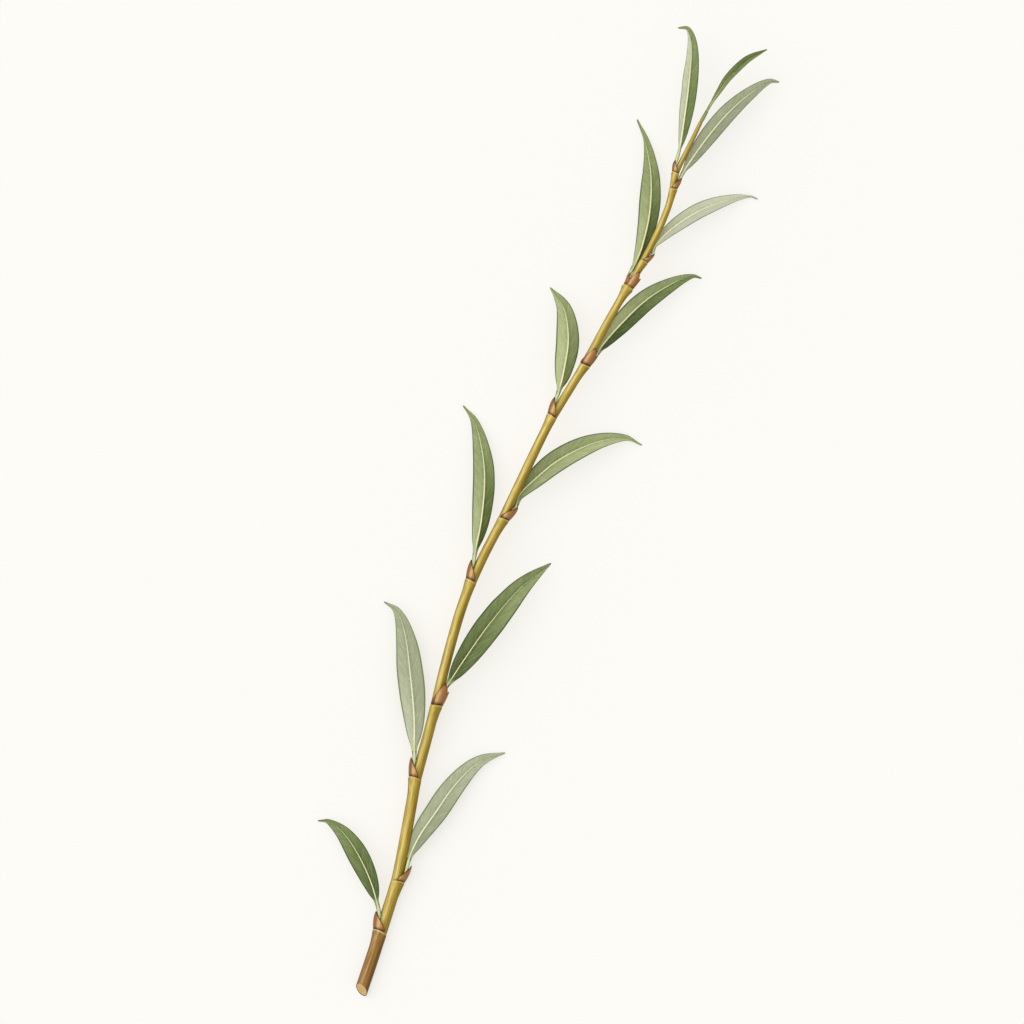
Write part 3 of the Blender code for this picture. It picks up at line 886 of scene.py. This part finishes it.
# A leaf's node, its ledge's place, its side, its stalk's angle above the level where it hugs the stem, its
# greatest half width, the share of its length where that is, the left and right half's lift in degrees and
# tapering towards the tip, whether the underside is up, the stalk's length, and points of the midrib.
Leaf = namedtuple("Leaf", "node at side root_angle half_width widest lifts tapers underside_up stalk midrib")
LEAVES = (
    Leaf("leaf_01", -160.3, LEFT, 40, 4.3, 0.44, (8, 28), EVEN, False, 9.0,
         ((-65.1, -149.0, 4.4), (-67.5, -140.8, 4.7), (-71.6, -131.7, 4.8), (-77.3, -122.9, 4.4),
          (-83.6, -117.8, 2.9), (-87.4, -117.5, 1.4))),
    Leaf("leaf_02", -141.1, RIGHT, 32, 4.5, 0.42, (-14, -8), (0.1, 0.4), True, 8.4,
         ((-52.4, -130.2, 5.0), (-48.8, -122.9, 5.6), (-43.3, -114.9, 5.6), (-35.4, -103.8, 4.8),
          (-26.6, -95.4, 3.0), (-16.7, -91.8, 1.2))),
    Leaf("leaf_03", -101.9, LEFT, 32, 5.2, 0.44, (-10, -12), (0.35, 0.35), True, 8.5,
         ((-51.0, -89.6, 7.2), (-51.1, -77.3, 7.8), (-52.6, -61.0, 7.3), (-54.5, -46.9, 5.9),
          (-57.6, -37.8, 4.4), (-62.3, -34.4, 3.0))),
    Leaf("leaf_04", -74.2, RIGHT, 36, 5.7, 0.44, (34, 12), (0.1, 0.3), False, 7.6,
         ((-36.4, -62.8, 8.7), (-31.7, -55.7, 9.2), (-22.4, -42.6, 9.3), (-10.8, -29.1, 8.0),
          (0.8, -19.8, 5.8))),
    Leaf("leaf_05", -27.0, LEFT, 30, 4.5, 0.44, (-6, -28), (0.5, 0.3), False, 9.0,
         ((-27.8, -15.0, 10.0), (-25.5, -3.0, 9.5), (-24.3, 12.0, 7.8), (-25.3, 23.4, 5.6),
          (-28.2, 34.3, 2.6), (-32.3, 40.1, 0.35))),
    Leaf("leaf_06", -3.2, RIGHT, -15, 4.5, 0.41, (-10, 24), (0.4, 0.6), False, 5.8,
         ((-10.8, 6.4, 8.6), (-6.3, 11.2, 8.0), (4.0, 19.6, 7.2), (17.5, 26.1, 5.3),
          (29.1, 27.9, 2.4), (35.3, 25.3, 0.35))),
    Leaf("leaf_07", 35.6, LEFT, 20, 4.7, 0.44, (-6, -26), (0.40, 0.1), False, 8.0,
         ((4.3, 47.0, 12.5), (6.2, 55.5, 12.3), (7.5, 65.5, 11.3), (5.9, 76.9, 9.4),
          (0.8, 84.9, 7.2))),
    Leaf("leaf_08", 55.3, RIGHT, -20, 4.2, 0.43, (-10, -12), (0.5, 0.2), False, 4.8,
         ((20.2, 62.8, 10.6), (26.0, 69.6, 9.7), (36.7, 80.0, 8.5), (48.1, 87.2, 6.0),
          (54.8, 89.6, 4.0), (58.0, 88.7, 3.0))),
    Leaf("leaf_09", 84.8, LEFT, -15, 4.45, 0.43, (-10, -32), (2.0, 0.25), False, 6.0,
         ((33.0, 94.2, 12.6), (35.7, 101.2, 12.0), (38.4, 113.4, 10.5), (38.9, 127.5, 7.3),
          (36.6, 141.0, 3.0), (33.8, 148.8, 0.35))),
    Leaf("leaf_10", 94.9, RIGHT, -20, 3.2, 0.42, (-14, -22), EVEN, True, 4.6,
         ((40.6, 101.2, 12.4), (47.0, 107.6, 11.2), (57.6, 114.4, 8.8), (69.0, 118.6, 4.8),
          (76.6, 119.7, 1.4), (79.2, 118.8, 0.35))),
    Leaf("leaf_11", 122.3, RIGHT, -20, 3.6, 0.44, (-6, -18), (0.0, 0.20), True, 5.0,
         ((52.4, 130.9, 13.4), (60.4, 142.2, 12.5), (69.0, 152.2, 11.4), (78.0, 159.8, 9.8),
          (84.0, 163.3, 8.3), (87.4, 163.2, 7.6))),
    Leaf("leaf_12", 128.3, LEFT, 20, 3.5, 0.48, (-42, -10), (0.5, 0.0), False, 6.0,
         ((49.6, 136.8, 15.6), (51.0, 145.0, 15.9), (53.3, 162.1, 15.5), (54.3, 176.5, 14.1),
          (52.8, 183.0, 12.9), (49.4, 183.7, 12.0))),
    Leaf("leaf_tip", 148.0, None, 0, 2.2, 0.58, (40, 48), (0.0, 0.3), False, 5.0,
         ((58.1, 148.3, 15.52), (61.55, 154.45, 16.1), (64.85, 159.65, 16.5), (68.4, 164.8, 16.6),
          (75.2, 171.4, 16.0), (82.8, 175.4, 14.6))),
)
# How pale each half of a leaf's upward side is, from 0 to about 1, at its base and tip, first the left
# half and then the right, and whether each half shows the greyer underside. The paleness holds painted
# light: a half is painted lighter as if lit or darker as if in shade, and some bases by the stem carry a
# painted shadow. The youngest leaf has -1 there: it is glossier, and its stalk is darker.
TONES_AND_PAINTED_LIGHT = {
    "leaf_01": ((0.08, 0.42), (0.00, 0.36), (0, 0)),
    "leaf_02": ((0.56, 0.62), (0.38, 0.72), (1, 1)),
    "leaf_03": ((0.84, 0.53), (0.64, 0.53), (1, 1)),
    "leaf_04": ((0.08, 0.50), (0.02, 0.56), (0, 0)),
    "leaf_05": ((0.86, 0.57), (-0.01, 0.58), (0, 0)),
    "leaf_06": ((0.40, 0.66), (0.63, 0.84), (0, 0)),
    "leaf_07": ((0.97, 0.81), (0.33, 0.63), (0, 0)),
    "leaf_08": ((0.98, 0.53), (-0.15, 0.35), (0, 0)),
    "leaf_09": ((0.90, 0.52), (-0.10, 0.62), (0, 0)),
    "leaf_10": ((0.72, 1.00), (0.90, 1.10), (1, 1)),
    "leaf_11": ((0.66, 0.52), (0.40, 0.54), (1, 1)),
    "leaf_12": ((0.70, 0.84), (0.22, 0.46), (1, 0)),
    "leaf_tip": ((0.56, 0.36), (0.52, 0.42), (-1, -1)),
}


def mix(a, b, share):
    return a + (b - a) * share


def across_and_up(key):
    """The directions to the stem's right and upwards from it."""
    along = stem_route.along(key)
    right = along.cross(UP).normalized()
    return right, right.cross(along)


def leaf_route(leaf):
    """The stalk's and midrib's route. The first two points hug the stem, behind the scale."""
    points = [Vector(point) for point in leaf.midrib]
    if leaf.side:
        scale = next(scale for scale in SCALES if scale.at == leaf.at and scale.side == leaf.side)
        hugging = []
        for distance, thick in ((STALK_ROOT, STALK_ROOT_RADIUS), (STALK_NECK * scale.length, STALK_RADIUS)):
            key = stem_key(leaf.at, distance)
            right, upward = across_and_up(key)
            way = facing(leaf.side, leaf.root_angle)
            reach = stem_radius(key) + GAP + thick
            hugging.append(stem_route.at(key) + (right * way.x + upward * way.z) * reach)
        points = hugging + points
    keys = [0.0]
    for here, there in zip(points, points[1:]):
        keys.append(keys[-1] + (there - here).length)
    return Route(keys, points)


def blade_width(share, widest, taper):
    """Half the blade's width at this share of its length, as a share of the greatest half width."""
    skew = math.log(0.5) / math.log(widest)
    return math.sin(math.pi * share ** skew) ** (BLADE_FULLNESS + taper * share)


longest = max(leaf_route(leaf).lengths[-1] for leaf in LEAVES)
print("leaves:", len(LEAVES), "longest:", round(longest, 1), "mm")

# %% [markdown]
# ## Leaf surface
# The upper side is deep green and a little glossy. The underside is paler and greyer, because it carries
# fine down. Side veins leave the midrib about every two millimetres and curve to the tip. One material does
# all leaves, and reads from each leaf's own attributes how pale it is there, painted light and shade
# included, and where its veins run. It also paints shade in a band along both sides of the midrib.

# %% Leaf materials
UPPER_TONES = ((0.00, 70, 86, 32), (0.33, 114, 130, 74),
               (0.66, 152, 163, 110), (1.00, 187, 195, 142))
UNDER_TONES = ((0.00, 110, 120, 85), (0.33, 145, 153, 118),
               (0.66, 174, 180, 147), (1.00, 207, 211, 181))
VEIN_WIDTH = 0.20  # as a share of the distance between two veins
STALK_GREEN = paint(178, 196, 132)
LEAF_EDGE, PALE_EDGE = paint(58, 78, 30), paint(108, 124, 76)


def make_blade_skin():
    material, tree, shader = new_material("leaf_blade", 0.5, specular=0.3)
    tone, bloom, _ = split(tree, attribute(tree, "tone_and_painted_light"))
    across, along, vein = split(tree, attribute(tree, "place"))
    sheet = attribute(tree, "sheet")

    cloud = noise_at(tree, sheet, 0.3, 3.0, 0.55)
    cells = add(tree, "TexVoronoi", sheet, None, 1.9).outputs[0]
    between = reckon(tree, "PINGPONG", vein, 0.5)
    line = reckon(tree, "SUBTRACT", 1.0, reckon(tree, "DIVIDE", between, VEIN_WIDTH))
    line = add(tree, "Clamp", line).outputs[0]
    # A noise drawn out along the veins makes some of them strong and others faint.
    along_veins = add(tree, "CombineXYZ", reckon(tree, "MULTIPLY", vein, 2.2),
                      reckon(tree, "MULTIPLY", across, 1.3), reckon(tree, "SIGN", across)).outputs[0]
    feathers = noise_at(tree, along_veins, 1.6, 3.0, 0.6)
    strength = fade(tree, feathers, 0.42, 0.66, 0.15, 1.0)
    line = reckon(tree, "MULTIPLY", line, strength)
    margin = reckon(tree, "ABSOLUTE", across)
    # Painted shade in a band along both sides of the midrib.
    rib_shade = fade(tree, margin, 0.10, 0.24, 1.0, 0.0)
    near_edge = fade(tree, margin, 0.86, 0.96, 0.0, 0.88)

    shade = reckon(tree, "MULTIPLY_ADD", cloud, 0.24, -0.12)
    shade = reckon(tree, "MULTIPLY_ADD", feathers, 0.7, reckon(tree, "SUBTRACT", shade, 0.38))
    shade = reckon(tree, "MULTIPLY_ADD", cells, 0.06, shade)
    shade = reckon(tree, "MULTIPLY_ADD", line, 0.22, shade)
    shade = reckon(tree, "MULTIPLY_ADD", rib_shade, -0.12, shade)
    shade = reckon(tree, "ADD", tone, shade)
    upper = ramp(tree, shade, *UPPER_TONES)
    under = ramp(tree, shade, *UNDER_TONES)
    colour = blend(tree, bloom, upper, under)
    colour = blend(tree, near_edge, colour, blend(tree, bloom, LEAF_EDGE, PALE_EDGE))
    base = fade(tree, along, 0.0, 0.03, 0.5, 0.0)
    colour = blend(tree, base, colour, STALK_GREEN)

    rough = reckon(tree, "MULTIPLY_ADD", bloom, 0.22, 0.40)
    tree.links.new(reckon(tree, "MULTIPLY_ADD", cloud, 0.12, rough), shader.inputs["Roughness"])
    height = reckon(tree, "MULTIPLY_ADD", cells, 0.4, reckon(tree, "MULTIPLY", line, -0.6))
    dress(tree, shader, colour, height, 0.35, 0.0001)
    return material


def make_rib_skin():
    """The stalk and midrib: yellow-green at the stalk, cream along the blade and green at the tip."""
    material, tree, shader = new_material("leaf_rib", 0.45)
    bloom = split(tree, attribute(tree, "tone_and_painted_light"))[1]
    along = split(tree, attribute(tree, "place"))[1]
    sheet = attribute(tree, "sheet")
    fibres = noise_at(tree, drawn_out(tree, sheet, (3.0, 0.25, 3.0)), 1.0, 2.0)
    run = reckon(tree, "ADD", along, reckon(tree, "MULTIPLY_ADD", fibres, 0.08, -0.04))
    run = fade(tree, run, -0.2, 1.0, 0.0, 1.0)
    green = ramp(tree, run, (0.05, 200, 212, 156), (0.16, 206, 214, 156),
                 (0.22, 244, 238, 186), (0.5, 242, 238, 186),
                 (0.8, 204, 210, 152), (0.92, 130, 148, 86), (1.0, 84, 104, 50))
    cream = ramp(tree, run, (0.05, 204, 216, 166), (0.16, 218, 222, 172),
                 (0.22, 248, 244, 206), (0.5, 244, 241, 202),
                 (0.8, 216, 218, 174), (0.92, 150, 162, 112), (1.0, 104, 118, 72))
    colour = blend(tree, bloom, green, cream)
    stalk = fade(tree, along, 0.0, 0.04, 1.0, 0.0)
    youngest = reckon(tree, "LESS_THAN", bloom, -0.5)
    colour = blend(tree, reckon(tree, "MULTIPLY", youngest, stalk), colour, paint(148, 152, 80))
    # Painted shade: the stalk is darker at its sides, where its round surface turns away.
    stalk_side_shade = reckon(tree, "DIVIDE", split(tree, sheet)[0], off_axis(tree, sheet))
    stalk_side_shade = fade(tree, reckon(tree, "ABSOLUTE", stalk_side_shade), 0.58, 0.90, 0.0, 0.85)
    colour = blend(tree, reckon(tree, "MULTIPLY", stalk_side_shade, stalk), colour, LEAF_EDGE)
    dress(tree, shader, colour, fibres, 0.2, 0.0001)
    return material


blade_skin = make_blade_skin()
rib_skin = make_rib_skin()

# %% [markdown]
# ## A leaf, straight and flat
# A leaf begins as a long round rod, modelled once and copied. On each copy every ring gets its place and
# thickness. From the stalk's end on, the sides of each ring are drawn out into two thin wings, and what
# stays round between them is the midrib. Then the wings are folded, and the leaf is bent along its route.

# %% The rod that every leaf starts from
LEAF_SIDES = 24
STALK_ROWS, BLADE_ROWS = 8, 32
ROWS = STALK_ROWS + BLADE_ROWS
WING_ANGLE = 46  # a ring's vertices this near the level, in degrees, are its wings
WING_FOOT = math.cos(math.radians(45))  # their lowest and highest vertices' place across
# Where the vertices at these angles go, as a share of the way from the wing's foot to its edge.
WING_SPREAD = {30: 0.05, 15: 0.60}


def model_rod():
    rod = straight_disc("leaf_rod", LEAF_SIDES)
    for _ in range(ROWS - 1):
        bpy.ops.mesh.extrude_region_move(TRANSFORM_OT_translate={"value": (0, 1, 0)})
    for side in (LEFT, RIGHT):
        for angle, share in WING_SPREAD.items():
            place = side * math.cos(math.radians(angle))
            pick(rod, lambda vertex: abs(vertex.co.x - place) < 0.01)
            move(side * mix(WING_FOOT, 1, share) - place)
    bpy.ops.mesh.select_all(action="SELECT")
    bpy.ops.mesh.normals_make_consistent(inside=False)
    leave_edit()
    return rod


rod = model_rod()
row_of = {}  # the vertices of each row: its left wing, its right wing, and its rib above and below
for vertex in rod.data.vertices:
    angle = math.degrees(math.atan2(vertex.co.z, vertex.co.x))
    if abs(angle) < WING_ANGLE:
        part = RIGHT
    elif abs(angle) > 180 - WING_ANGLE:
        part = LEFT
    else:
        part = "above" if angle > 0 else "below"
    row_of.setdefault(round(vertex.co.y), {}).setdefault(part, set()).add(vertex.index)
print("rod rows:", len(row_of), "of", [len(row_of[0][part]) for part in (LEFT, RIGHT, "above", "below")])

# %% Shape a leaf
ROOT_THICKNESS, STALK_THICKNESS = 0.58, 0.78  # radius of a stalk's ring where it starts and further on
TIP_ROOT_THICKNESS, TIP_STALK_THICKNESS = 0.74, 0.74
RIB_RADIUS = (0.40, 0.10)  # at the blade's base and tip
RIB_THINNING = 0.8
RIB_FLUSH = 0.45  # on the upper side it hardly stands out
WING_HALF_THICK = 0.16
ROW_CROWDING = 1.1
TIP_HALF_WIDTH = 0.38
TIP_REACH = 0.4  # Subdivision Surface draws the tip in by as much
EDGE_ROUNDING = 1.14  # Subdivision Surface draws a thin edge in by this much
VEIN_STEP = 2.2
VEIN_SLANT, VEIN_CURVE = 1.5, 0.7  # how far veins run forward on their way to the margin
VEIN_WOBBLE = 0.5
VEIN_DEPTH = 0.10
TONE_END = 0.7  # from this share of the blade on, the tip's tone holds
# Tone and bloom of the side that lies on the paper, where that is the upper side and where it isn't.
HIDDEN_UPPER, HIDDEN_UNDER = (0.35, 0), (0.55, 1)
RIPPLE = 4.0  # degrees by which the halves' lift changes along the leaf
TIP_OVERLAP = 0.5  # the tip leaf grows out of the stem's end


def half_blade(leaf, share, taper):
    """Half the blade's width, on the side with this taper, at this share of its length."""
    least = TIP_HALF_WIDTH if leaf.side else mix(TIP_STALK_THICKNESS, TIP_HALF_WIDTH, share)
    return max(least, leaf.half_width * blade_width(share, leaf.widest, taper))


def leaf_rows(leaf, whole):
    """Key, share of the blade, flatness, and half widths of every row of a leaf."""
    keys = [leaf.stalk * i / STALK_ROWS for i in range(STALK_ROWS)]
    keys += [mix(leaf.stalk, whole, (i / (BLADE_ROWS - 1)) ** ROW_CROWDING) for i in range(BLADE_ROWS)]
    keys[-1] += TIP_REACH
    if not leaf.side:
        keys[0] = -TIP_OVERLAP
    rows = []
    for key in keys:
        share = min(1.0, max(BLADE_START, (key - leaf.stalk) / (whole - leaf.stalk)))
        flatness = min(1.0, max(0.0, (key - leaf.stalk + BLADE_OPENING) / BLADE_OPENING))
        halves = [half_blade(leaf, share, taper) * EDGE_ROUNDING for taper in leaf.tapers]
        rows.append((key, share, flatness, halves))
    return rows


def shape_row(thing, number, place, radius, flatness, halves, flush):
    """Gives one ring its place along the straight leaf, its thickness and its wings."""
    row = row_of[number]
    pick(thing, set().union(*row.values()))
    move(y=place - number)
    resize(radius, 1, radius)
    thin = min(1.0, WING_HALF_THICK / (radius * WING_FOOT))
    for side, half in zip((LEFT, RIGHT), halves):
        foot = WING_FOOT * radius
        stretch = (max(half, radius) - foot) / (radius - foot)
        pick(thing, row[side])
        resize(mix(1, stretch, flatness), 1, mix(1, thin, flatness), about=(side * foot, place, 0))
    pick(thing, row[flush])
    resize(1, 1, mix(1, RIB_FLUSH, flatness))


def vein_value(leaf, x, y):
    """Counts the side veins: a whole number on each. They curve forward from the midrib to the margin."""
    wobble = noise.noise(Vector((x * 0.25, y * 0.12, leaf.half_width * 7))) * VEIN_WOBBLE
    forward = VEIN_SLANT * abs(x) + VEIN_CURVE * x * x / leaf.half_width
    return (y - forward) / VEIN_STEP + wobble + (0.5 if x > 0 else 0)


def paint_leaf(thing, leaf, route):
    """Notes where every point of the still straight leaf lies and how pale it is."""
    whole = route.keys[-1]
    start, length = route.length_to(leaf.stalk), route.lengths[-1]
    left_tones, right_tones, blooms = TONES_AND_PAINTED_LIGHT[leaf.node]

    def place(vertex):
        share = (vertex.co.y - start) / (length - start)
        inside = min(1.0, max(BLADE_START, share))
        taper = leaf.tapers[0 if vertex.co.x < 0 else 1]
        across = vertex.co.x / half_blade(leaf, inside, taper)
        return across, share, vein_value(leaf, vertex.co.x, vertex.co.y - start)

    def tone_and_painted_light(vertex):
        share = min(1.0, max(0.0, (vertex.co.y - start) / (length - start)))
        tones, bloom = (left_tones, blooms[0]) if vertex.co.x < 0 else (right_tones, blooms[1])
        # This tone holds painted light: each half painted lighter as if lit or darker as if shaded, with a
        # painted shadow at some bases by the stem.
        tone = mix(*tones, min(1.0, share / TONE_END))
        if vertex.co.z < 0:
            tone, bloom = HIDDEN_UPPER if leaf.underside_up else HIDDEN_UNDER
        return tone, bloom, 0.0

    note(thing, "place", place)
    note(thing, "tone_and_painted_light", tone_and_painted_light)
    note(thing, "sheet", lambda vertex: vertex.co)


def fold_wings(thing, leaf, rows, seed):
    """Turns each row's wings up or down by the leaf's lift, with a gentle ripple along the leaf."""
    for number, (key, share, flatness, _) in enumerate(rows):
        if flatness == 0:
            continue
        for side, lift in zip((LEFT, RIGHT), leaf.lifts):
            ripple = RIPPLE * noise.noise(Vector((key * 0.16, seed * 5.3, side * 3.1)))
            pick(thing, row_of[number][side])
            turn(-side * (lift + ripple * min(1, 4 * share)) * flatness, "Y")


def sink_veins(thing, leaf):
    """Presses the side veins into the upper side, so that they stand out on the underside."""
    weights = []
    for item in thing.data.attributes["place"].data:
        across, share, vein = item.vector
        # Highest on a vein, and fading at the midrib, at the margin and at the blade's base.
        ridge = max(0.0, 1 - 4 * abs(vein - round(vein)))
        inside = min(1.0, 6 * abs(across)) * max(0.0, min(1.0, 5 * (0.98 - abs(across))))
        weights.append(ridge * inside * min(1.0, 8 * max(0.0, share)))
    group = thing.vertex_groups.new(name="veins")
    for index, weight in enumerate(weights):
        group.add([index], weight, "REPLACE")
    depth = VEIN_DEPTH if leaf.underside_up else -VEIN_DEPTH
    apply_modifier(thing, "DISPLACE", vertex_group="veins", direction="Z", mid_level=0, strength=depth)
    thing.vertex_groups.clear()


def assign_rib(thing):
    """The faces between the wings get the midrib's own material."""
    thing.data.materials.append(blade_skin)
    thing.data.materials.append(rib_skin)
    edit()
    wings = set().union(*(row[side] for row in row_of.values() for side in (LEFT, RIGHT)))
    stalk = set().union(*(set().union(*row_of[n].values()) for n in range(STALK_ROWS)))
    pick_faces(thing, lambda face: not {vertex.index for vertex in face.verts} <= wings
               or {vertex.index for vertex in face.verts} <= stalk)
    assign(thing, 1)
    bpy.ops.mesh.select_mode(type="VERT")
    leave_edit()


def model_leaf(leaf, seed):
    route = leaf_route(leaf)
    rows = leaf_rows(leaf, route.keys[-1])
    blade = copy_of(rod, leaf.node.replace("leaf", "blade"))
    assign_rib(blade)
    flush = "below" if leaf.underside_up else "above"
    if leaf.side:
        root, neck = ROOT_THICKNESS, STALK_THICKNESS
    else:
        root, neck = TIP_ROOT_THICKNESS, TIP_STALK_THICKNESS
    edit()
    for number, (key, share, flatness, halves) in enumerate(rows):
        stalk = mix(root, neck, min(1.0, max(0.0, key) / STALK_SPREAD))
        rib = mix(*RIB_RADIUS, share ** RIB_THINNING)
        place = route.length_to(key)
        shape_row(blade, number, place, mix(stalk, rib, flatness), flatness, halves, flush)
    leave_edit()
    paint_leaf(blade, leaf, route)
    edit()
    fold_wings(blade, leaf, rows, seed)
    leave_edit()
    apply_modifier(blade, "SUBSURF", levels=2, render_levels=2)
    sink_veins(blade, leaf)
    bend(blade, route.guide())
    press_flat(blade)
    finish_piece(blade, leaf.node)
    return blade


blades = [model_leaf(leaf, seed) for seed, leaf in enumerate(LEAVES)]
bpy.data.objects.remove(rod)
print("leaves made:", len(blades), "of", len(blades[0].data.polygons), "faces")

# %% [markdown]
# ## Last step
# The guides have done their work, so they are removed.

# %% Remove the guides
for thing in list(bpy.data.objects):
    if thing.type == "CURVE":
        bpy.data.objects.remove(thing)
print("pieces:", 1 + len(shields) + len(blades))
